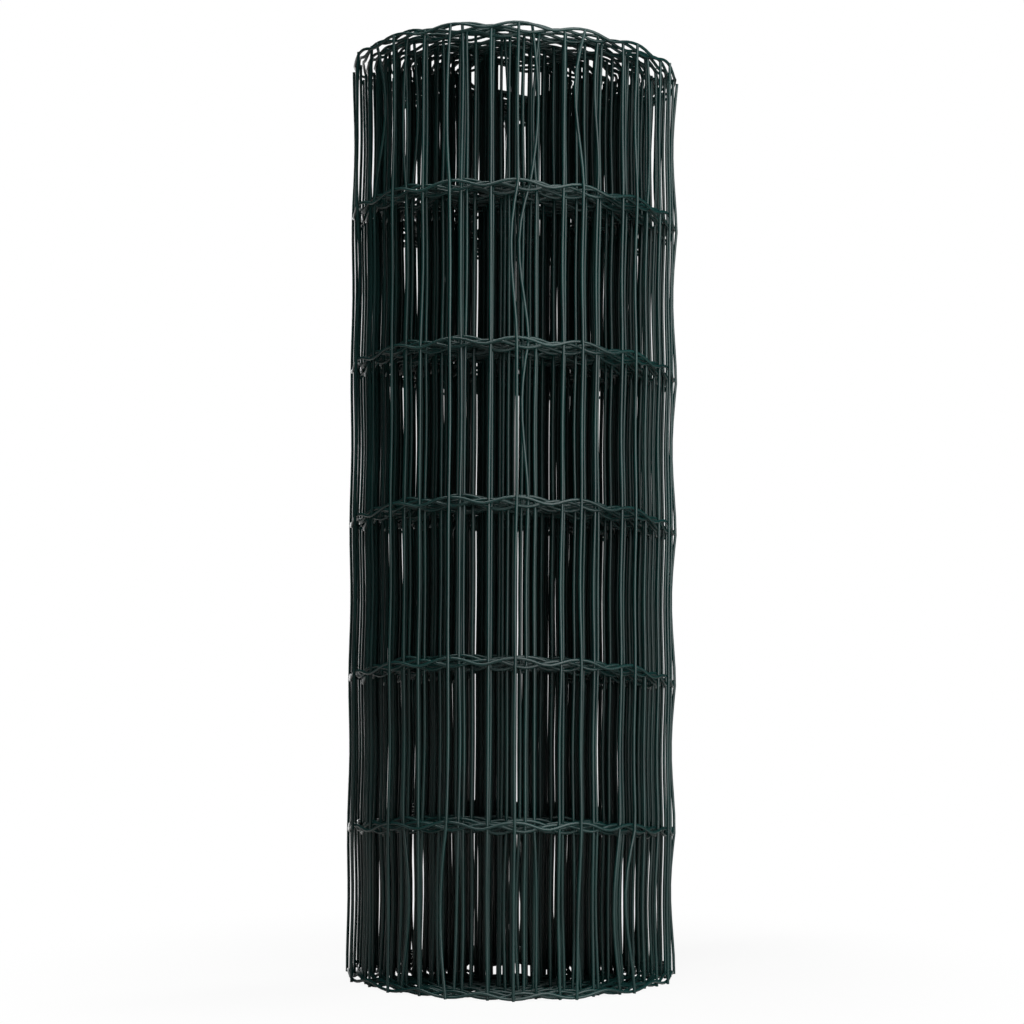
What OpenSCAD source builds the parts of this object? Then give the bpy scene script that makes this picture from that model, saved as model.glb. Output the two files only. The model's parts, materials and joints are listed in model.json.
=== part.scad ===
// Roll of welded wire fencing, standing on one end.
// The origin is in the middle of the lower end and +Z runs along the roll's axis.
// One turned solid stands for the wound mesh. It has the open bore, a band where each line wire
// goes round the outer turn, a shallow waist between those bands, and every turn on both ends.

/* [Mesh] */
// Height from one line wire to the next
line_pitch = 152.4; // [100:0.1:200]
// Number of line wires, from the lower end to the upper end
line_count = 7; // [3:1:12]
// Diameter of the coated wire
wire_d = 3; // [2:0.1:3.6]
// Height of the wave crimped into each line wire, from trough to crest
wave_height = 5.2; // [3:0.1:8]

/* [Roll] */
// Diameter over the outer turn, at a line wire
roll_d = 334; // [305:1:500]
// Diameter of the open bore inside the first turn
bore_d = 88; // [50:1:100]
// Number of turns of mesh
turns = 31; // [10:1:31]
// How far the outer turn draws in between two line wires
waist_depth = 2.5; // [0.5:0.1:6]
// Depth of the flat that each turn rests on
rest_flat = 0.3; // [0.1:0.05:0.8]

/* [Hidden] */
wire_r = wire_d / 2;
roll_r = roll_d / 2;
bore_r = bore_d / 2;
band_h = wave_height + wire_d;
end_level = band_h / 2 - rest_flat;
roll_h = line_pitch * (line_count - 1) + 2 * end_level;
first_turn_r = bore_r + wire_r;
last_turn_r = roll_r - wire_r;
turn_pitch = (last_turn_r - first_turn_r) / (turns - 1);
waist_span = line_pitch - band_h;
waist_r = pow(waist_span, 2) / (8 * waist_depth) + waist_depth / 2;
wire_facets = 24;
waist_facets = 1440;
roll_facets = 180;
wire_colour = "#27453f";

// Height of the middle of a line wire's wave
function line_level(line) = end_level + line * line_pitch;

// Radius of the middle of a turn's wire
function turn_r(turn) = first_turn_r + turn * turn_pitch;

// Section that a waved line wire fills as it goes round the roll
module wire_band() {
    square([wire_d, wave_height], center = true);
    for (side = [-1, 1])
        translate([0, side * wave_height / 2])
            circle(r = wire_r, $fn = wire_facets);
}

// Section of the packed turns, with a waist between each two line wires
module packed_turns() {
    difference() {
        translate([bore_r, end_level])
            square([last_turn_r - bore_r, line_pitch * (line_count - 1)]);
        for (span = [0 : line_count - 2])
            translate([last_turn_r + waist_r - waist_depth, line_level(span + 0.5)])
                circle(r = waist_r, $fn = waist_facets);
    }
}

// Section of every turn's end wires and of the outer turn's line wires
module wire_bands() {
    for (turn = [0 : turns - 1], line = [0, line_count - 1])
        translate([turn_r(turn), line_level(line)])
            wire_band();
    for (line = [1 : line_count - 2])
        translate([last_turn_r, line_level(line)])
            wire_band();
}

module mesh_roll() {
    color(wire_colour)
        rotate_extrude($fn = roll_facets)
            intersection() {
                square([roll_r, roll_h]);
                union() {
                    packed_turns();
                    wire_bands();
                }
            }
}

mesh_roll();
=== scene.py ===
"""A roll of welded wire fencing, wound from one length of green coated mesh and stood on its end.

A place on the mesh is given as if the mesh lay flat: how far along it, how high up, how far
outward and how far sideways. One node group winds such a place into the roll, so the line wires
and the uprights follow the same spiral.
"""

import json
import math
from collections import namedtuple

import bpy
from mathutils import Matrix, Vector


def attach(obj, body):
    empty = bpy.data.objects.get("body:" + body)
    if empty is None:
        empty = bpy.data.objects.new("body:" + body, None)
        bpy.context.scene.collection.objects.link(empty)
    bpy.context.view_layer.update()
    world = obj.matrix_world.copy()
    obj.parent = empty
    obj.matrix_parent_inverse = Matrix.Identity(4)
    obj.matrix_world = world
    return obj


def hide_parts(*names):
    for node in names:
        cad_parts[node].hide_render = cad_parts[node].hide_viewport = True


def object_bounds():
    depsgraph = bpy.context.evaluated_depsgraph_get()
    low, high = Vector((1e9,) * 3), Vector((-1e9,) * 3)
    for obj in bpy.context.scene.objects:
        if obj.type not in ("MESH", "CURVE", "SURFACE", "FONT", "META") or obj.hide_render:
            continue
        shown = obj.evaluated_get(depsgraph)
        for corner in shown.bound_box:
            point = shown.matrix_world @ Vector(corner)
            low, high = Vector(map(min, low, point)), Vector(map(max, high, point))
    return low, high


bl_info = {
    "name": "Roll of wire fencing",
    "version": (1, 0, 0),
    "blender": (4, 5, 0),
    "location": "3D View > Sidebar > Fencing",
    "description": "Winds a length of welded wire mesh into a roll and stands it in a studio",
    "category": "Add Mesh",
}

MM = 0.001
MATH = "ShaderNodeMath"
VECTOR_MATH = "ShaderNodeVectorMath"
MAP_RANGE = "ShaderNodeMapRange"
NOISE = "ShaderNodeTexNoise"
MIX = "ShaderNodeMix"
RANDOM = "FunctionNodeRandomValue"
FLOAT = "NodeSocketFloat"
WHOLE = "NodeSocketInt"
WHITE = (1, 1, 1, 1)

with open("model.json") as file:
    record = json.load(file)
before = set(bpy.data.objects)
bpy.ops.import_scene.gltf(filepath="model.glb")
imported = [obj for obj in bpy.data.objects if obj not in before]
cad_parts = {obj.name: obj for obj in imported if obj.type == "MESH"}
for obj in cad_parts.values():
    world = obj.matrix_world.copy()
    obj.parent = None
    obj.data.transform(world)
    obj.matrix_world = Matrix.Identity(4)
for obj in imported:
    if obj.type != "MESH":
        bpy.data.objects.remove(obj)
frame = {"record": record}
CAD_LOW, CAD_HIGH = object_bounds()
BORE = next(mount for mount in frame["record"]["mounts"] if mount["name"] == "bore")


def linear(hex_value):
    """Turns an sRGB hex value into the linear colour that Blender works in."""
    channels = [int(hex_value[i : i + 2], 16) / 255 for i in (1, 3, 5)]
    return [c / 12.92 if c <= 0.04045 else ((c + 0.055) / 1.055) ** 2.4 for c in channels]


def length(name, description, default):
    """A length that a user may change."""
    return bpy.props.FloatProperty(
        name=name, description=description, default=default, unit="LENGTH", precision=4
    )


def colour(name, description, default):
    """A colour that a user may change, given as an sRGB hex value."""
    return bpy.props.FloatVectorProperty(
        name=name, description=description, default=linear(default), subtype="COLOR", min=0, max=1
    )


def plain_number(name, description, default):
    """A plain number that a user may change."""
    return bpy.props.FloatProperty(name=name, description=description, default=default)


def angle(name, description, default):
    """An angle that a user may change, given in radians."""
    return bpy.props.FloatProperty(name=name, description=description, default=default, unit="ROTATION")


class FenceMesh(bpy.types.PropertyGroup):
    """The mesh as it lies flat."""

    wire_diameter: length("Wire", "Diameter of the wire with its coat", 3.0 * MM)
    line_pitch: length("Line pitch", "Height from one line wire to the next", 152.4 * MM)
    line_count: bpy.props.IntProperty(
        name="Line wires", description="Line wires from end to end", default=7, min=2
    )
    upright_pitch: length("Upright pitch", "Distance from one upright to the next", 63.5 * MM)
    wave_height: length("Wave", "Height of a line wire's crimped wave, trough to crest", 6.4 * MM)
    end_wave_height: length("End wave", "Height of that wave in the two end line wires", 5.2 * MM)
    mesh_length: length("Mesh length", "Length of mesh in the roll", 20.0)
    weld_sink: length("Weld sink", "How far an upright sinks into a line wire", 0.3 * MM)
    short_cut: length("Short cut", "How far the uprights end below the upper end", 2.5 * MM)
    stub: length("Stub", "Line wire that stands past the last upright", 9.0 * MM)


class FenceWinding(bpy.types.PropertyGroup):
    """The spiral that the mesh is wound into."""

    bore_radius: length("Bore", "Radius inside the first turn", BORE["dims"]["r_mm"] * MM)
    roll_radius: length("Roll", "Radius over the last turn", (CAD_HIGH.x - CAD_LOW.x) / 2)
    roll_height: length("Height", "Height of the roll", CAD_HIGH.z - CAD_LOW.z)
    free_end: length("Free end", "How far the mesh's end stands past the roll's radius", 3.3 * MM)
    loose: length("Loose", "How far the last turn has sprung open", 2.522 * MM)
    loose_power: plain_number("Loose power", "How few of the last turns spring open", 10.077)
    slip: length("Slip", "How far turns slip round on one another", 9.914 * MM)
    slip_waves: plain_number("Slip waves", "Slips forth and back in a turn", 0.3668)
    slip_phase: angle("Slip phase", "Where the slip is at the front upright", 0.971)
    short_slip: length("Short slip", "A shorter slip that goes with the first", 6.607 * MM)
    short_slip_waves: plain_number("Short slip waves", "Short slips forth and back in a turn", 1.0818)
    short_slip_phase: angle("Short slip phase", "Where the short slip is at the front upright", 0.7336)
    quick_slip: length("Quick slip", "The quickest slip, over less than half a turn", 3.993 * MM)
    quick_slip_waves: plain_number("Quick slip waves", "Quick slips forth and back in a turn", 2.3885)
    quick_slip_phase: angle("Quick slip phase", "Where the quick slip is at the front upright", 3.0326)
    inner_slip: length("Inner slip", "A slip of the inner turns alone", 2.362 * MM)
    inner_slip_waves: plain_number("Inner slip waves", "Inner slips forth and back in a turn", 1.228)
    inner_slip_phase: angle("Inner slip phase", "Where the inner slip is at the front upright", -0.126)
    inner_quick_slip: length("Inner quick slip", "A quicker slip of the inner turns alone", 1.576 * MM)
    inner_quick_slip_waves: plain_number("Inner quick slip waves", "Forth and back in a turn", 2.6699)
    inner_quick_slip_phase: angle("Inner quick slip phase", "Where it is at the front upright", -0.6901)
    uneven: length("Uneven", "How far a turn strays in and out", 0.1 * MM)
    waist: length("Waist", "How far a turn draws in between line wires", 1.5 * MM)
    flare: length("Flare", "How much wider the upper end is, at its radius", 2.2 * MM)
    wobble: length("Wobble", "How far a turn strays up and down, from lowest to highest", 9.0 * MM)
    drift: length("Drift", "How far the end line wires stray sideways", 9.0 * MM)
    tilt: length("Tilt", "How much lower the upper end is on its right than on its left", 12.0 * MM)
    sag: length("Sag", "How much lower the middle line wires are at both sides than in front", 16.5 * MM)
    rise: length("Rise", "How much higher the upper end is at both sides than in front", 2.0 * MM)
    front_upright: bpy.props.IntProperty(
        name="Front upright", description="Number of the upright that faces the viewer", default=306
    )
    front_angle: angle("Front angle", "Where that upright stands round the roll", math.radians(-88.46))


class FenceBends(bpy.types.PropertyGroup):
    """How handling has bent the uprights."""

    bow: length("Bow", "Most that an upright bows sideways between line wires", 1.2 * MM)
    end_bow: length("End bow", "Most that it bows in the two end spaces", 8.5 * MM)
    dip: length("Dip", "Most that an upright bows in or out", 0.2 * MM)
    lean: length("Lean", "Most that an upright strays at a line wire", 0.5 * MM)
    inner_share: plain_number("Inner share", "How much of that the inner turns have", 0.2)
    seed: bpy.props.IntProperty(name="Seed", description="Seed of the bends", default=14)


class FenceCoat(bpy.types.PropertyGroup):
    """Colours of the coat on the wire."""

    deep: colour("Deep", "Coat where it is thick", "#021b1a")
    thin: colour("Thin", "Coat where it is drawn thin", "#052523")


class FenceStage(bpy.types.PropertyGroup):
    """The studio round the roll."""

    floor_side: length("Floor", "Side of the floor", 12.0)
    floor_colour: colour("Floor colour", "Colour of the floor", "#a8a8a6")
    camera_distance: length("Distance", "From the roll's axis to the camera", 1.99)
    camera_height: length("Camera height", "Height of the camera", 0.31)
    camera_pitch: angle("Pitch", "How far the camera looks up", math.radians(3.04))
    camera_roll: angle("Roll", "How far the camera is turned on its axis", math.radians(0.3))
    sensor_width: plain_number("Sensor", "Width of the camera's sensor, mm", 36.0)
    lens: plain_number("Lens", "Focal length, mm", 68.5)
    shift_x: plain_number("Shift across", "Share of the frame", 0.0008)
    shift_y: plain_number("Shift up", "Share of the frame", 0.05)


def add_node(tree, kind, inputs=(), **settings):
    """Adds a node with its settings, sets or links its inputs and gives its first output."""
    node = tree.nodes.new(kind)
    for name, value in settings.items():
        setattr(node, name, value)
    live = [socket for socket in node.inputs if socket.enabled]
    if isinstance(inputs, dict):
        named = {socket.name: socket for socket in live}
        pairs = [(named[name], value) for name, value in inputs.items()]
    else:
        pairs = list(zip(live, inputs))
    for socket, value in pairs:
        if isinstance(value, bpy.types.NodeSocket):
            tree.links.new(value, socket)
        elif value is not None:
            socket.default_value = value
    return next((socket for socket in node.outputs if socket.enabled), None)


def new_tree(name, inputs, outputs):
    """Starts a geometry tree and gives it with the sockets of its named inputs."""
    tree = bpy.data.node_groups.new(name, "GeometryNodeTree")
    for label, kind in outputs.items():
        tree.interface.new_socket(label, in_out="OUTPUT", socket_type=kind)
    for label, kind in inputs.items():
        tree.interface.new_socket(label, in_out="INPUT", socket_type=kind)
    given = tree.nodes.new("NodeGroupInput")
    return tree, {socket.name: socket for socket in given.outputs if socket.name}


# Where a place is on the flat mesh
PLACE = dict.fromkeys(("Along", "Height", "Outward", "Sideways"), FLOAT)

# The sizes that wind the flat mesh into the roll
WINDING = dict.fromkeys(
    (
        "First radius",
        "Turn pitch",
        "Mesh length",
        "Loose",
        "Loose power",
        "Uneven",
        "Waist",
        "Line pitch",
        "Line spaces",
        "End level",
        "Wobble",
        "Drift",
        "Tilt",
        "Sag",
        "Rise",
        "Flare",
        "Inner share",
        "Slip",
        "Slip waves",
        "Slip start",
        "Short slip",
        "Short slip waves",
        "Short slip start",
        "Quick slip",
        "Quick slip waves",
        "Quick slip start",
        "Inner slip",
        "Inner slip waves",
        "Inner slip start",
        "Inner quick slip",
        "Inner quick slip waves",
        "Inner quick slip start",
        "Slip base",
        "Start angle",
    ),
    FLOAT,
)


def winding_values(scene):
    """Works out the winding's sizes from the properties."""
    mesh, winding = scene.fence_mesh, scene.fence_winding
    wire_radius = mesh.wire_diameter / 2
    first = winding.bore_radius + wire_radius
    outer = winding.roll_radius + winding.free_end - mesh.wire_diameter + mesh.weld_sink - wire_radius
    packed_last = outer - winding.loose
    pitch = math.pi * (packed_last**2 - first**2) / mesh.mesh_length
    along = winding.front_upright * mesh.upright_pitch
    packed = math.sqrt(first**2 + along * pitch / math.pi)
    eased = winding.loose * (along / mesh.mesh_length) ** winding.loose_power
    swept = 2 * math.pi * (packed - first) / pitch
    swept -= eased * along / ((winding.loose_power + 1) * packed * (packed + eased))
    spaces = mesh.line_count - 1
    slips = {}
    slip_base = 0.0
    for name in ("slip", "short_slip", "quick_slip", "inner_slip", "inner_quick_slip"):
        size, waves, phase = [getattr(winding, name + part) for part in ("", "_waves", "_phase")]
        label = name.replace("_", " ").capitalize()
        slips[label] = size
        slips[f"{label} waves"] = waves
        slips[f"{label} start"] = phase - waves * winding.front_angle
        if not name.startswith("inner"):
            slip_base -= size * math.sin(phase)
    return {
        **slips,
        "First radius": first,
        "Turn pitch": pitch,
        "Mesh length": mesh.mesh_length,
        "Loose": winding.loose,
        "Loose power": winding.loose_power,
        "Uneven": winding.uneven,
        "Waist": winding.waist,
        "Line pitch": mesh.line_pitch,
        "Line spaces": float(spaces),
        "End level": (winding.roll_height - spaces * mesh.line_pitch) / 2,
        "Wobble": winding.wobble,
        "Drift": winding.drift,
        "Tilt": winding.tilt,
        "Sag": winding.sag,
        "Rise": winding.rise,
        "Flare": winding.flare,
        "Inner share": scene.fence_bends.inner_share,
        "Slip base": slip_base,
        "Start angle": winding.front_angle - swept,
    }


# Turns a share from 0 to 1 into a place from -1 to 1, by a factor and a sum
TO_BOTH_SIDES = (2.0, -1.0)
LOBES_A_TURN = 2.6
LOBE_DETAIL = 1.0
DRIFT_WAVES_A_METRE = 4.5
DRIFT_WAVES_UP = 2.0
DRIFT_POWER = 3.0
WOBBLE_WAVES_A_METRE = 1.3
# The range that the wobble's noise mostly keeps to, and the shares of the wobble that it stands for
WOBBLE_NOISE = (0.3, 0.7)
WOBBLE_SHARES = (-0.5, 0.5)
# Half of the tilt lowers the right and the other half lifts the left
TILT_SHARE = 0.5
RISE_POWER = 4.0
# Makes the greatest value of u (1 - u)^2 one
SAG_SCALE = 27 / 4
# The part of the sag by which the front and the back are lifted instead
FRONT_LIFT_SHARE = 0.25
# The shares of the mesh between which the turns go from spared to knocked about
KNOCKED_SHARES = (0.5, 0.85)
# The shares of the mesh between which the inner turns' own slip dies out
INNER_SHARES = (0.739, 0.85)


def place_on_roll():
    """Node group that winds a place on the flat mesh into a point of the roll."""
    tree, given = new_tree("Place on roll", {**PLACE, **WINDING}, {"Position": "NodeSocketVector"})
    along, height, first = given["Along"], given["Height"], given["First radius"]

    # An even spiral, worked out from the length of mesh that is wound up so far
    swept_area = add_node(tree, MATH, (along, given["Turn pitch"]), operation="MULTIPLY")
    first_square = add_node(tree, MATH, (first, first), operation="MULTIPLY")
    packed_square = add_node(tree, MATH, (swept_area, 1 / math.pi, first_square), operation="MULTIPLY_ADD")
    packed = add_node(tree, MATH, (packed_square,), operation="SQRT")
    grown = add_node(tree, MATH, (packed, first), operation="SUBTRACT")
    turns = add_node(tree, MATH, (grown, given["Turn pitch"]), operation="DIVIDE")

    # The last turns spring open, which also slows how fast they go round
    wound_share = add_node(tree, MATH, (along, given["Mesh length"]), operation="DIVIDE", use_clamp=True)
    loose_share = add_node(tree, MATH, (wound_share, given["Loose power"]), operation="POWER")
    eased = add_node(tree, MATH, (given["Loose"], loose_share), operation="MULTIPLY")
    line_radius = add_node(tree, MATH, (packed, eased), operation="ADD")
    eased_along = add_node(tree, MATH, (eased, along), operation="MULTIPLY")
    radii = add_node(tree, MATH, (packed, line_radius), operation="MULTIPLY")
    next_power = add_node(tree, MATH, (given["Loose power"], 1.0), operation="ADD")
    lag_below = add_node(tree, MATH, (radii, next_power), operation="MULTIPLY")
    lag = add_node(tree, MATH, (eased_along, lag_below), operation="DIVIDE")

    # A turn is drawn in between line wires and isn't quite round
    above_end = add_node(tree, MATH, (height, given["End level"]), operation="SUBTRACT")
    space = add_node(tree, MATH, (above_end, given["Line pitch"]), operation="DIVIDE")
    half_turn = add_node(tree, MATH, (space, math.pi), operation="MULTIPLY")
    sine = add_node(tree, MATH, (half_turn,), operation="SINE")
    sine_square = add_node(tree, MATH, (sine, sine), operation="MULTIPLY")
    drawn_in = add_node(tree, MATH, (sine_square, given["Waist"]), operation="MULTIPLY")
    lobes = add_node(tree, MATH, (turns, LOBES_A_TURN), operation="MULTIPLY")
    lobe_noise = {"W": lobes, "Scale": 1.0, "Detail": LOBE_DETAIL}
    lobe_noise = add_node(tree, NOISE, lobe_noise, noise_dimensions="1D")
    lobe_side = add_node(tree, MATH, (lobe_noise, *TO_BOTH_SIDES), operation="MULTIPLY_ADD")
    stray = add_node(tree, MATH, (lobe_side, given["Uneven"], given["Outward"]), operation="MULTIPLY_ADD")
    round_radius = add_node(tree, MATH, (line_radius, drawn_in), operation="SUBTRACT")
    up_share = add_node(tree, MATH, (space, given["Line spaces"]), operation="DIVIDE")
    flared = add_node(tree, MATH, (up_share, given["Flare"], stray), operation="MULTIPLY_ADD")
    radius = add_node(tree, MATH, (round_radius, flared), operation="ADD")

    # The end line wires of the outer turns have slid sideways a little
    from_middle = add_node(tree, MATH, (up_share, *TO_BOTH_SIDES), operation="MULTIPLY_ADD")
    from_middle = add_node(tree, MATH, (from_middle,), operation="ABSOLUTE")
    end_share = add_node(tree, MATH, (from_middle, DRIFT_POWER), operation="POWER")
    drift_along = add_node(tree, MATH, (along, DRIFT_WAVES_A_METRE), operation="MULTIPLY")
    drift_up = add_node(tree, MATH, (up_share, DRIFT_WAVES_UP), operation="MULTIPLY")
    drift_at = add_node(tree, "ShaderNodeCombineXYZ", (drift_along, drift_up))
    drift_noise = add_node(tree, NOISE, {"Vector": drift_at, "Scale": 1.0}, noise_dimensions="2D")
    drift_side = add_node(tree, MATH, (drift_noise, *TO_BOTH_SIDES), operation="MULTIPLY_ADD")
    drift_most = add_node(tree, MAP_RANGE, (wound_share, *KNOCKED_SHARES, given["Inner share"], 1.0))
    drift_most = add_node(tree, MATH, (drift_most, given["Drift"]), operation="MULTIPLY")
    drift_now = add_node(tree, MATH, (drift_side, drift_most), operation="MULTIPLY")
    sideways = add_node(tree, MATH, (drift_now, end_share, given["Sideways"]), operation="MULTIPLY_ADD")

    # Turns have slipped round on one another
    even_angle = add_node(tree, MATH, (turns, 2 * math.pi, given["Start angle"]), operation="MULTIPLY_ADD")
    late_angle = add_node(tree, MATH, (even_angle, lag), operation="SUBTRACT")
    slip = given["Slip base"]
    inner_share = (wound_share, *INNER_SHARES, 1.0, 0.0)
    inner_share = add_node(tree, MAP_RANGE, inner_share, interpolation_type="SMOOTHSTEP")
    for kind in ("Slip", "Short slip", "Quick slip", "Inner slip", "Inner quick slip"):
        waves = (late_angle, given[f"{kind} waves"], given[f"{kind} start"])
        slip_angle = add_node(tree, MATH, waves, operation="MULTIPLY_ADD")
        slip_share = add_node(tree, MATH, (slip_angle,), operation="SINE")
        if kind.startswith("Inner"):
            slip_share = add_node(tree, MATH, (slip_share, inner_share), operation="MULTIPLY")
        slip = add_node(tree, MATH, (slip_share, given[kind], slip), operation="MULTIPLY_ADD")
    sideways = add_node(tree, MATH, (sideways, slip), operation="ADD")
    side_angle = add_node(tree, MATH, (sideways, radius), operation="DIVIDE")
    turned = add_node(tree, MATH, (late_angle, side_angle), operation="ADD")
    cosine = add_node(tree, MATH, (turned,), operation="COSINE")
    across = add_node(tree, MATH, (turned,), operation="SINE")
    x = add_node(tree, MATH, (radius, cosine), operation="MULTIPLY")
    y = add_node(tree, MATH, (radius, across), operation="MULTIPLY")

    # Turns sit a little higher or lower than one another, and the lower end stays flat
    above_floor = add_node(tree, MATH, (space, 0.0), operation="ADD", use_clamp=True)
    wobble_along = add_node(tree, MATH, (along, WOBBLE_WAVES_A_METRE), operation="MULTIPLY")
    wobble_noise = add_node(tree, NOISE, {"W": wobble_along, "Scale": 1.0}, noise_dimensions="1D")
    wobble_share = add_node(tree, MAP_RANGE, (wobble_noise, *WOBBLE_NOISE, *WOBBLE_SHARES))
    wobble = add_node(tree, MATH, (wobble_share, given["Wobble"]), operation="MULTIPLY")
    to_right = add_node(tree, MATH, (cosine, TILT_SHARE), operation="MULTIPLY")
    tilt = add_node(tree, MATH, (to_right, given["Tilt"]), operation="MULTIPLY")
    lowered = add_node(tree, MATH, (tilt, up_share, wobble), operation="MULTIPLY_ADD")
    from_top = add_node(tree, MATH, (1.0, up_share), operation="SUBTRACT", use_clamp=True)
    sag_share = add_node(tree, MATH, (from_top, from_top), operation="MULTIPLY")
    sag_share = add_node(tree, MATH, (sag_share, up_share), operation="MULTIPLY")
    side_share = add_node(tree, MATH, (cosine, cosine), operation="MULTIPLY")
    side_share = add_node(tree, MATH, (side_share, side_share), operation="MULTIPLY")
    sag_side = add_node(tree, MATH, (side_share, FRONT_LIFT_SHARE), operation="SUBTRACT")
    sag = add_node(tree, MATH, (given["Sag"], SAG_SCALE), operation="MULTIPLY")
    sag = add_node(tree, MATH, (sag, sag_share), operation="MULTIPLY")
    lowered = add_node(tree, MATH, (sag, sag_side, lowered), operation="MULTIPLY_ADD")
    rise_share = add_node(tree, MATH, (up_share, RISE_POWER), operation="POWER")
    rise = add_node(tree, MATH, (rise_share, given["Rise"]), operation="MULTIPLY")
    rise = add_node(tree, MATH, (rise, side_share), operation="MULTIPLY")
    lowered = add_node(tree, MATH, (lowered, rise), operation="SUBTRACT")
    lowered = add_node(tree, MATH, (lowered, above_floor), operation="MULTIPLY")
    z = add_node(tree, MATH, (height, lowered), operation="SUBTRACT")

    position = add_node(tree, "ShaderNodeCombineXYZ", (x, y, z))
    add_node(tree, "NodeGroupOutput", (position,))
    return tree


def place_node(tree, group, given, **place):
    """Adds the winding group to a tree, with the tree's own sizes, and gives the wound point."""
    inputs = {name: given[name] for name in WINDING}
    inputs.update({name.capitalize(): socket for name, socket in place.items()})
    return add_node(tree, "GeometryNodeGroup", inputs, node_tree=group)


def wire_tree_end(tree, given, geometry):
    """Ends a tree: smooth faces, no instances left and the coat on all of it."""
    smooth = add_node(tree, "GeometryNodeSetShadeSmooth", {"Geometry": geometry})
    real = add_node(tree, "GeometryNodeRealizeInstances", {"Geometry": smooth})
    coated = add_node(tree, "GeometryNodeSetMaterial", {"Geometry": real, "Material": given["Coat"]})
    add_node(tree, "NodeGroupOutput", (coated,))
    return tree


def tube(tree, given, curve):
    """Gives a path the round section of the wire."""
    section = add_node(
        tree,
        "GeometryNodeCurvePrimitiveCircle",
        {"Resolution": given["Sides"], "Radius": given["Wire radius"]},
    )
    return add_node(
        tree, "GeometryNodeCurveToMesh", {"Curve": curve, "Profile Curve": section, "Fill Caps": True}
    )


SECOND_WAVE_SHARE = -0.12


def line_wire_tree(group):
    """Tree of one line wire: a crimped wave all along the spiral."""
    own = {
        "Level": FLOAT,
        "Wave": FLOAT,
        "Upright pitch": FLOAT,
        "Start": FLOAT,
        "End": FLOAT,
        "Points": WHOLE,
        "Sides": WHOLE,
        "Wire radius": FLOAT,
        "Coat": "NodeSocketMaterial",
    }
    tree, given = new_tree("Line wire", {**own, **WINDING}, {"Wire": "NodeSocketGeometry"})
    path = add_node(tree, "GeometryNodeCurvePrimitiveLine")
    path = add_node(tree, "GeometryNodeResampleCurve", {"Curve": path, "Count": given["Points"]})
    share = add_node(tree, "GeometryNodeSplineParameter")
    run = add_node(tree, MATH, (given["End"], given["Start"]), operation="SUBTRACT")
    along = add_node(tree, MATH, (share, run, given["Start"]), operation="MULTIPLY_ADD")
    uprights = add_node(tree, MATH, (along, given["Upright pitch"]), operation="DIVIDE")
    phase = add_node(tree, MATH, (uprights, 2 * math.pi), operation="MULTIPLY")
    wave = add_node(tree, MATH, (phase,), operation="COSINE")
    second_phase = add_node(tree, MATH, (phase, 2.0), operation="MULTIPLY")
    second = add_node(tree, MATH, (second_phase,), operation="COSINE")
    wave = add_node(tree, MATH, (second, SECOND_WAVE_SHARE, wave), operation="MULTIPLY_ADD")
    height = add_node(tree, MATH, (wave, given["Wave"], given["Level"]), operation="MULTIPLY_ADD")
    point = place_node(tree, group, given, along=along, height=height)
    path = add_node(tree, "GeometryNodeSetPosition", {"Geometry": path, "Position": point})
    return wire_tree_end(tree, given, tube(tree, given, path))


# The plainest knocks: which upright, which space above the lower end, and how far in millimetres it is
# bowed round the roll and pushed in
Dent = namedtuple("Dent", "upright space bow push", defaults=(0.0,))
ALL_SPACES = range(6)
DENTS = (
    Dent(upright=306, space=4, bow=-6.0),
    Dent(upright=275, space=4, bow=-10.0),
    Dent(upright=275, space=3, bow=-6.0),
    Dent(upright=288, space=5, bow=9.0, push=3.0),
    Dent(upright=307, space=5, bow=-10.0),
    Dent(upright=276, space=5, bow=-9.0),
    Dent(upright=308, space=0, bow=-9.0),
    Dent(upright=303, space=4, bow=4.0, push=1.0),
    *(Dent(upright=310, space=space, bow=0.0, push=3.0) for space in ALL_SPACES),
)
# Puts a knock's deepest place a little above the middle of its space
DENT_SKEW = 1.4
# How near two numbers of uprights or spaces have to be to count as the same
SAME_NUMBER = 0.5
# The draws for an upright's bow, dip and lean
ANY_SIDE = {"Min": -1.0, "Max": 1.0}


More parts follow.
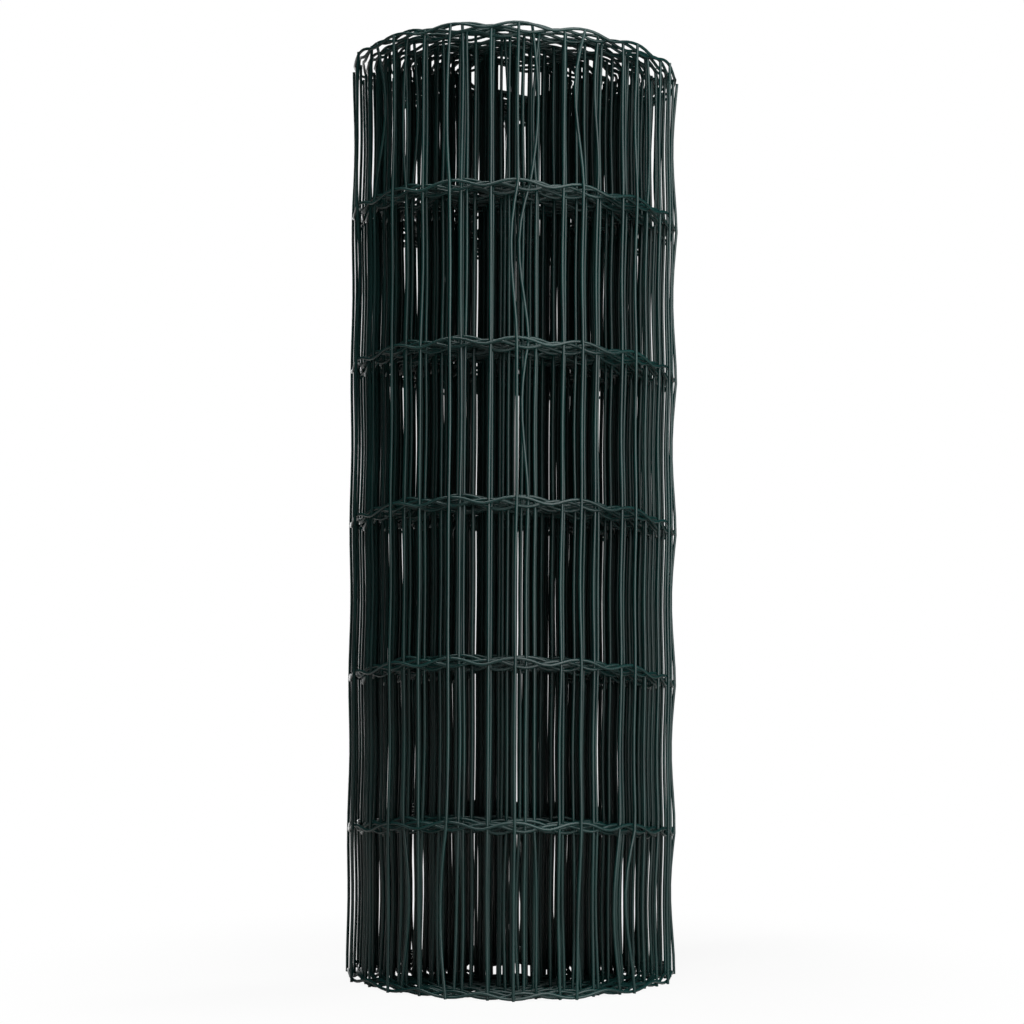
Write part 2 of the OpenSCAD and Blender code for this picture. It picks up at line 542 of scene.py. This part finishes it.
def upright_tree(group):
    """Tree of a run of uprights: straight at the welds and bowed between them."""
    own = {
        "First": WHOLE,
        "Count": WHOLE,
        "Upright pitch": FLOAT,
        "Roll height": FLOAT,
        "Outward": FLOAT,
        "Bow": FLOAT,
        "End bow": FLOAT,
        "Dip": FLOAT,
        "Lean": FLOAT,
        "Total": FLOAT,
        "Seed": WHOLE,
        "Points": WHOLE,
        "Sides": WHOLE,
        "Wire radius": FLOAT,
        "Coat": "NodeSocketMaterial",
    }
    tree, given = new_tree("Uprights", {**own, **WINDING}, {"Wires": "NodeSocketGeometry"})
    path = add_node(tree, "GeometryNodeCurvePrimitiveLine")
    path = add_node(tree, "GeometryNodeResampleCurve", {"Curve": path, "Count": given["Points"]})
    paths = {"Geometry": path, "Amount": given["Count"]}
    paths = add_node(tree, "GeometryNodeDuplicateElements", paths, domain="SPLINE")
    copy = paths.node.outputs["Duplicate Index"]
    share = add_node(tree, "GeometryNodeSplineParameter")
    number = add_node(tree, MATH, (copy, given["First"]), operation="ADD")
    along = add_node(tree, MATH, (number, given["Upright pitch"]), operation="MULTIPLY")
    height = add_node(tree, MATH, (share, given["Roll height"]), operation="MULTIPLY")

    # Which space between line wires a point is in, and how far up that space
    above_end = add_node(tree, MATH, (height, given["End level"]), operation="SUBTRACT")
    level = add_node(tree, MATH, (above_end, given["Line pitch"]), operation="DIVIDE")
    last_space = add_node(tree, MATH, (given["Line spaces"], 1.0), operation="SUBTRACT")
    space = add_node(tree, MATH, (level,), operation="FLOOR")
    space = add_node(tree, MATH, (space, 0.0), operation="MAXIMUM")
    space = add_node(tree, MATH, (space, last_space), operation="MINIMUM")
    up_share = add_node(tree, MATH, (level, space), operation="SUBTRACT", use_clamp=True)
    half_turn = add_node(tree, MATH, (up_share, math.pi), operation="MULTIPLY")
    belly = add_node(tree, MATH, (half_turn,), operation="SINE")

    # Each space of each upright draws its own bow, most of them small
    wide = add_node(tree, MATH, (given["Line spaces"], 2.0), operation="ADD")
    draw = add_node(tree, MATH, (number, wide, space), operation="MULTIPLY_ADD")
    next_draw = add_node(tree, MATH, (draw, 1.0), operation="ADD")
    bow_seed = given["Seed"]
    dip_seed = add_node(tree, MATH, (bow_seed, 1.0), operation="ADD")
    lean_seed = add_node(tree, MATH, (bow_seed, 2.0), operation="ADD")
    bow_draw, dip_draw, lean_below = [
        add_node(tree, RANDOM, {**ANY_SIDE, "ID": draw, "Seed": seed})
        for seed in (bow_seed, dip_seed, lean_seed)
    ]
    lean_above = add_node(tree, RANDOM, {**ANY_SIDE, "ID": next_draw, "Seed": lean_seed})
    bow_size = add_node(tree, MATH, (bow_draw,), operation="ABSOLUTE")
    bow_share = add_node(tree, MATH, (bow_draw, bow_size), operation="MULTIPLY")
    low_end = add_node(tree, MATH, (space, SAME_NUMBER), operation="LESS_THAN")
    below_last = add_node(tree, MATH, (last_space, SAME_NUMBER), operation="SUBTRACT")
    high_end = add_node(tree, MATH, (space, below_last), operation="GREATER_THAN")
    at_end = add_node(tree, MATH, (low_end, high_end), operation="MAXIMUM")
    bow = add_node(tree, MIX, {"Factor": at_end, "A": given["Bow"], "B": given["End bow"]})
    bow = add_node(tree, MATH, (bow, bow_share), operation="MULTIPLY")
    lean = add_node(tree, MIX, {"Factor": up_share, "A": lean_below, "B": lean_above})
    lean = add_node(tree, MATH, (lean, given["Lean"]), operation="MULTIPLY")
    sideways = add_node(tree, MATH, (bow, belly, lean), operation="MULTIPLY_ADD")

    # The outer turns took the knocks
    out_share = add_node(tree, MATH, (number, given["Total"]), operation="DIVIDE")
    knocked = add_node(tree, MAP_RANGE, (out_share, *KNOCKED_SHARES, given["Inner share"], 1.0))
    sideways = add_node(tree, MATH, (sideways, knocked), operation="MULTIPLY")
    skew = add_node(tree, MATH, (up_share, DENT_SKEW), operation="POWER")
    skew = add_node(tree, MATH, (skew, math.pi), operation="MULTIPLY")
    dent_belly = add_node(tree, MATH, (skew,), operation="SINE")
    push = 0.0
    for dent in DENTS:
        this_upright = add_node(tree, MATH, (number, dent.upright, SAME_NUMBER), operation="COMPARE")
        this_space = add_node(tree, MATH, (space, dent.space, SAME_NUMBER), operation="COMPARE")
        here = add_node(tree, MATH, (this_upright, this_space), operation="MULTIPLY")
        shape = add_node(tree, MATH, (here, dent_belly), operation="MULTIPLY")
        sideways = add_node(tree, MATH, (shape, dent.bow * MM, sideways), operation="MULTIPLY_ADD")
        push = add_node(tree, MATH, (shape, dent.push * MM, push), operation="MULTIPLY_ADD")
    dip = add_node(tree, MATH, (dip_draw, given["Dip"]), operation="MULTIPLY")
    outward = add_node(tree, MATH, (dip, belly, given["Outward"]), operation="MULTIPLY_ADD")
    outward = add_node(tree, MATH, (outward, push), operation="SUBTRACT")

    point = place_node(tree, group, given, along=along, height=height, outward=outward, sideways=sideways)
    paths = add_node(tree, "GeometryNodeSetPosition", {"Geometry": paths, "Position": point})
    return wire_tree_end(tree, given, tube(tree, given, paths))


def make_piece(name, tree, values):
    """Runs a tree, keeps its result as a plain mesh and lets that ride in place of the solid."""
    piece = bpy.data.objects.new(name, bpy.data.meshes.new(name))
    bpy.context.scene.collection.objects.link(piece)
    modifier = piece.modifiers.new("Wind", "NODES")
    modifier.node_group = tree
    for item in tree.interface.items_tree:
        if item.in_out == "INPUT":
            modifier[item.identifier] = values[item.name]
    evaluated = piece.evaluated_get(bpy.context.evaluated_depsgraph_get())
    finished = bpy.data.meshes.new_from_object(evaluated)
    if not finished.polygons:
        raise RuntimeError(f"{name} came out empty")
    piece.modifiers.clear()
    piece.data = finished
    finished.name = name
    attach(piece, "root")
    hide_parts("mesh_roll")
    return piece


# The coat's thicker and thinner stretches, and the range that their noise mostly keeps to
COAT_STRETCH = 60 * MM
COAT_STRETCH_DETAIL = 3.0
COAT_STRETCH_NOISE = (0.35, 0.65)
# Its fine unevenness, drawn coarse enough to show
COAT_GRAIN = 4 * MM
COAT_GRAIN_DETAIL = 4.0
COAT_GRAIN_NOISE = (0.3, 0.7)
COAT_BUMP = 0.3 * MM
COAT_BUMP_SHARE = 0.06
COAT_ROUGHNESS = (0.3, 0.36)
COAT_SPECULAR_LEVEL = 0.32


def coat_material(coat):
    """PVC coat, fused on after welding: smooth and half glossy, so each wire has a pale line down it."""
    name = "PVC coat"
    if name in bpy.data.materials:
        return bpy.data.materials[name]
    material = bpy.data.materials.new(name)
    material.use_nodes = True
    tree = material.node_tree
    tree.nodes.clear()
    place = tree.nodes.new("ShaderNodeTexCoord").outputs["Object"]
    thin = {"Vector": place, "Scale": 1 / COAT_STRETCH, "Detail": COAT_STRETCH_DETAIL}
    thin = add_node(tree, NOISE, thin)
    thin = add_node(tree, MAP_RANGE, (thin, *COAT_STRETCH_NOISE))
    shades = {"Factor": thin, "A": (*coat.deep, 1), "B": (*coat.thin, 1)}
    green = add_node(tree, MIX, shades, data_type="RGBA")
    grain = {"Vector": place, "Scale": 1 / COAT_GRAIN, "Detail": COAT_GRAIN_DETAIL}
    grain = add_node(tree, NOISE, grain)
    rough = add_node(tree, MAP_RANGE, (grain, *COAT_GRAIN_NOISE, *COAT_ROUGHNESS))
    bump = {"Strength": COAT_BUMP_SHARE, "Distance": COAT_BUMP, "Height": grain}
    finish = {
        "Base Color": green,
        "Roughness": rough,
        "Specular IOR Level": COAT_SPECULAR_LEVEL,
        "Normal": add_node(tree, "ShaderNodeBump", bump),
    }
    shader = add_node(tree, "ShaderNodeBsdfPrincipled", finish)
    add_node(tree, "ShaderNodeOutputMaterial", (shader,))
    return material


class FENCE_OT_add_line_wires(bpy.types.Operator):
    """Adds the line wires, each a waved wire wound from the bore to the last turn"""

    bl_idname = "fence.add_line_wires"
    bl_label = "Add line wires"

    points_a_wave = 10
    sides = 8

    def execute(self, context):
        scene = context.scene
        mesh = scene.fence_mesh
        values = winding_values(scene)
        waves = int(mesh.mesh_length / mesh.upright_pitch)
        values["Upright pitch"] = mesh.upright_pitch
        values["Start"] = -mesh.stub
        values["End"] = waves * mesh.upright_pitch + mesh.stub
        values["Points"] = waves * self.points_a_wave
        values["Sides"] = self.sides
        values["Wire radius"] = mesh.wire_diameter / 2
        values["Coat"] = coat_material(scene.fence_coat)
        tree = line_wire_tree(place_on_roll())
        for line in range(mesh.line_count):
            values["Level"] = values["End level"] + line * mesh.line_pitch
            at_end = line in (0, mesh.line_count - 1)
            wave = mesh.end_wave_height if at_end else mesh.wave_height
            # The lowest line wire's wave is turned over
            values["Wave"] = wave / 2 * (1 if line else -1)
            make_piece(f"line_wire_{line + 1}", tree, values)
        return {"FINISHED"}


class FENCE_OT_add_uprights(bpy.types.Operator):
    """Adds the uprights, in a run each for the inner, the middle and the outer turns"""

    bl_idname = "fence.add_uprights"
    bl_label = "Add uprights"

    points_a_space = 8
    outer_uprights = 48
    sides = 8
    outer_sides = 10

    def execute(self, context):
        scene = context.scene
        mesh, winding, bends = scene.fence_mesh, scene.fence_winding, scene.fence_bends
        values = winding_values(scene)
        values["Upright pitch"] = mesh.upright_pitch
        values["Roll height"] = winding.roll_height - mesh.short_cut
        values["Outward"] = mesh.wire_diameter - mesh.weld_sink
        values["Bow"] = bends.bow
        values["End bow"] = bends.end_bow
        values["Dip"] = bends.dip
        values["Lean"] = bends.lean
        values["Seed"] = bends.seed
        values["Points"] = (mesh.line_count - 1) * self.points_a_space + 1
        values["Wire radius"] = mesh.wire_diameter / 2
        values["Coat"] = coat_material(scene.fence_coat)
        tree = upright_tree(place_on_roll())
        count = int(mesh.mesh_length / mesh.upright_pitch) + 1
        values["Total"] = float(count)
        split = count - self.outer_uprights
        runs = (
            ("uprights_inner", 0, split // 2, self.sides),
            ("uprights_middle", split // 2, split, self.sides),
            ("uprights_outer", split, count, self.outer_sides),
        )
        for name, first, end, sides in runs:
            values["First"] = first
            values["Count"] = end - first
            values["Sides"] = sides
            make_piece(name, tree, values)
        return {"FINISHED"}


# A lamp: its place and size in metres, its power in watts and the depths between which its light fades
Lamp = namedtuple("Lamp", "name place size power fade", defaults=(None,))
LAMPS = (
    Lamp("front", place=(1.4, -2.1, 1.0), size=(3.6, 2.4), power=160.0, fade=(-0.12, 0.04)),
    Lamp("back", place=(-1.4, 2.1, 1.0), size=(3.6, 2.4), power=160.0, fade=(-0.12, -0.03)),
    Lamp("top", place=(-0.2, -1.0, 2.8), size=(3.6, 1.2), power=120.0),
)
LAMP_AIM = Vector((0, 0, 0.5))
# The radii between which the turns go from shaded to lit, and the light that shaded turns get
SHADED_RADII = (0.1, 0.165)
SHADED_SHARE = 0.14
# How far from the middle the floor goes from almost white to white, and how white the camera sees it there
FLOOR_REACHES = (0.2, 0.6)
FLOOR_WHITE_SHARES = (0.92, 1.0)
# How bright the studio's walls are, where they aren't seen as white
WALL_STRENGTH = 0.03
# How squarely a mirrored ray has to come from behind the roll to show white, and after how few bounces
BEHIND_COSINES = (-0.9, -0.99)
MOST_BOUNCES = 1.5


class FENCE_OT_add_stage(bpy.types.Operator):
    """Adds the floor, the lamps, the world and the camera"""

    bl_idname = "fence.add_stage"
    bl_label = "Add stage"

    def execute(self, context):
        scene = context.scene
        stage = scene.fence_stage
        self.add_floor(scene, stage)
        self.add_world(scene)
        self.add_lamps(scene)
        self.add_camera(scene, stage)
        scene.view_settings.view_transform = "Standard"
        return {"FINISHED"}

    def add_floor(self, scene, stage):
        """Adds the floor, which the camera sees as white with a faint shadow."""
        half = stage.floor_side / 2
        mesh = bpy.data.meshes.new("floor")
        corners = [(-half, -half, 0), (half, -half, 0), (half, half, 0), (-half, half, 0)]
        mesh.from_pydata(corners, [], [(0, 1, 2, 3)])
        floor = bpy.data.objects.new("floor", mesh)
        scene.collection.objects.link(floor)
        material = bpy.data.materials.new("Matt paper")
        material.use_nodes = True
        tree = material.node_tree
        tree.nodes.clear()
        paper = add_node(tree, "ShaderNodeBsdfDiffuse", {"Color": (*stage.floor_colour, 1)})
        glow = add_node(tree, "ShaderNodeEmission", {"Color": WHITE, "Strength": 1.0})
        seen = white_share(tree)
        place = tree.nodes.new("ShaderNodeTexCoord").outputs["Object"]
        reach = add_node(tree, VECTOR_MATH, (place,), operation="LENGTH")
        far = (reach, *FLOOR_REACHES, *FLOOR_WHITE_SHARES)
        far = add_node(tree, MAP_RANGE, far, interpolation_type="SMOOTHSTEP")
        part = add_node(tree, MATH, (seen, far), operation="MULTIPLY")
        mixed = add_node(tree, "ShaderNodeMixShader", (part, paper, glow))
        add_node(tree, "ShaderNodeOutputMaterial", (mixed,))
        mesh.materials.append(material)

    def add_world(self, scene):
        """Adds the studio's walls: white where they are seen, and dim as a light."""
        world = bpy.data.worlds.new("Studio")
        scene.world = world
        world.use_nodes = True
        tree = world.node_tree
        tree.nodes.clear()
        dim = add_node(tree, "ShaderNodeBackground", {"Color": WHITE, "Strength": WALL_STRENGTH})
        white = add_node(tree, "ShaderNodeBackground", {"Color": WHITE, "Strength": 1.0})
        mixed = add_node(tree, "ShaderNodeMixShader", (white_share(tree), dim, white))
        add_node(tree, "ShaderNodeOutputWorld", (mixed,))

    def add_lamps(self, scene):
        """Adds the lamps, which the camera doesn't see."""
        for spec in LAMPS:
            lamp = bpy.data.lights.new(spec.name, "AREA")
            lamp.shape = "RECTANGLE"
            lamp.size, lamp.size_y = spec.size
            lamp.energy = spec.power
            holder = bpy.data.objects.new(spec.name, lamp)
            holder.location = spec.place
            holder.visible_camera = False
            holder.rotation_euler = (LAMP_AIM - holder.location).to_track_quat("-Z", "Y").to_euler()
            scene.collection.objects.link(holder)
            self.shade(lamp, spec)

    def shade(self, lamp, spec):
        """Dims a lamp on the inner turns and past the side of the roll that it stands on."""
        lamp.use_nodes = True
        tree = lamp.node_tree
        tree.nodes.clear()
        run = tree.nodes.new("ShaderNodeLightPath").outputs["Ray Length"]
        shown = tree.nodes.new("ShaderNodeNewGeometry").outputs
        lit = (shown["Incoming"], run, shown["Position"])
        lit = add_node(tree, VECTOR_MATH, lit, operation="MULTIPLY_ADD")
        level = add_node(tree, VECTOR_MATH, (lit, (1, 1, 0)), operation="MULTIPLY")
        radius = add_node(tree, VECTOR_MATH, (level,), operation="LENGTH")
        share = add_node(tree, MAP_RANGE, (radius, *SHADED_RADII, SHADED_SHARE, 1.0))
        if spec.fade:
            away = -Vector((*spec.place[:2], 0)).normalized()
            depth = add_node(tree, VECTOR_MATH, (level, away), operation="DOT_PRODUCT")
            near = (depth, *spec.fade, 1.0, 0.0)
            near = add_node(tree, MAP_RANGE, near, interpolation_type="SMOOTHSTEP")
            share = add_node(tree, MATH, (share, near), operation="MULTIPLY")
        glow = add_node(tree, "ShaderNodeEmission", {"Color": WHITE, "Strength": share})
        add_node(tree, "ShaderNodeOutputLight", (glow,))

    def add_camera(self, scene, stage):
        """Adds the camera, in front of the roll and below its middle."""
        camera = bpy.data.cameras.new("camera")
        camera.sensor_width = stage.sensor_width
        camera.lens = stage.lens
        camera.shift_x = stage.shift_x
        camera.shift_y = stage.shift_y
        holder = bpy.data.objects.new("camera", camera)
        turn = Matrix.Rotation(math.pi / 2 + stage.camera_pitch, 4, "X")
        lean = Matrix.Rotation(stage.camera_roll, 4, "Z")
        place = Matrix.Translation((0, -stage.camera_distance, stage.camera_height))
        holder.matrix_world = place @ turn @ lean
        scene.collection.objects.link(holder)
        scene.camera = holder


def white_share(tree):
    """One for a ray that shows the white sweep: to the eye, through glass or mirrored from behind."""
    path = tree.nodes.new("ShaderNodeLightPath").outputs
    seen = add_node(tree, MATH, (path["Is Camera Ray"], path["Is Transmission Ray"]), operation="MAXIMUM")
    toward = tree.nodes.new("ShaderNodeNewGeometry").outputs["Incoming"]
    forth = add_node(tree, "ShaderNodeSeparateXYZ", (toward,)).node.outputs["Y"]
    behind = add_node(tree, MAP_RANGE, (forth, *BEHIND_COSINES), interpolation_type="SMOOTHSTEP")
    once = add_node(tree, MATH, (path["Ray Depth"], MOST_BOUNCES), operation="LESS_THAN")
    mirrored = add_node(tree, MATH, (path["Is Glossy Ray"], behind), operation="MULTIPLY")
    mirrored = add_node(tree, MATH, (mirrored, once), operation="MULTIPLY")
    return add_node(tree, MATH, (seen, mirrored), operation="MAXIMUM")


class FENCE_PT_panel(bpy.types.Panel):
    """Lists the fencing's sizes and the steps that make it"""

    bl_label = "Roll of wire fencing"
    bl_space_type = "VIEW_3D"
    bl_region_type = "UI"
    bl_category = "Fencing"

    def draw(self, context):
        """Draws every property and then every step."""
        for group in GROUPS:
            properties = getattr(context.scene, group)
            for name in properties.__annotations__:
                self.layout.prop(properties, name)
        for operator in OPERATORS:
            self.layout.operator(operator.bl_idname)


GROUPS = {
    "fence_mesh": FenceMesh,
    "fence_winding": FenceWinding,
    "fence_bends": FenceBends,
    "fence_coat": FenceCoat,
    "fence_stage": FenceStage,
}
OPERATORS = (FENCE_OT_add_line_wires, FENCE_OT_add_uprights, FENCE_OT_add_stage)


def register():
    """Makes the properties, the steps and the panel known to Blender."""
    for name, group in GROUPS.items():
        bpy.utils.register_class(group)
        setattr(bpy.types.Scene, name, bpy.props.PointerProperty(type=group))
    for operator in OPERATORS:
        bpy.utils.register_class(operator)
    bpy.utils.register_class(FENCE_PT_panel)


def unregister():
    """Takes them away again, in reverse."""
    bpy.utils.unregister_class(FENCE_PT_panel)
    for operator in reversed(OPERATORS):
        bpy.utils.unregister_class(operator)
    for name, group in reversed(GROUPS.items()):
        delattr(bpy.types.Scene, name)
        bpy.utils.unregister_class(group)


def main():
    """Builds the roll and its studio."""
    register()
    bpy.ops.fence.add_line_wires()
    bpy.ops.fence.add_uprights()
    bpy.ops.fence.add_stage()


if __name__ == "__main__":
    main()
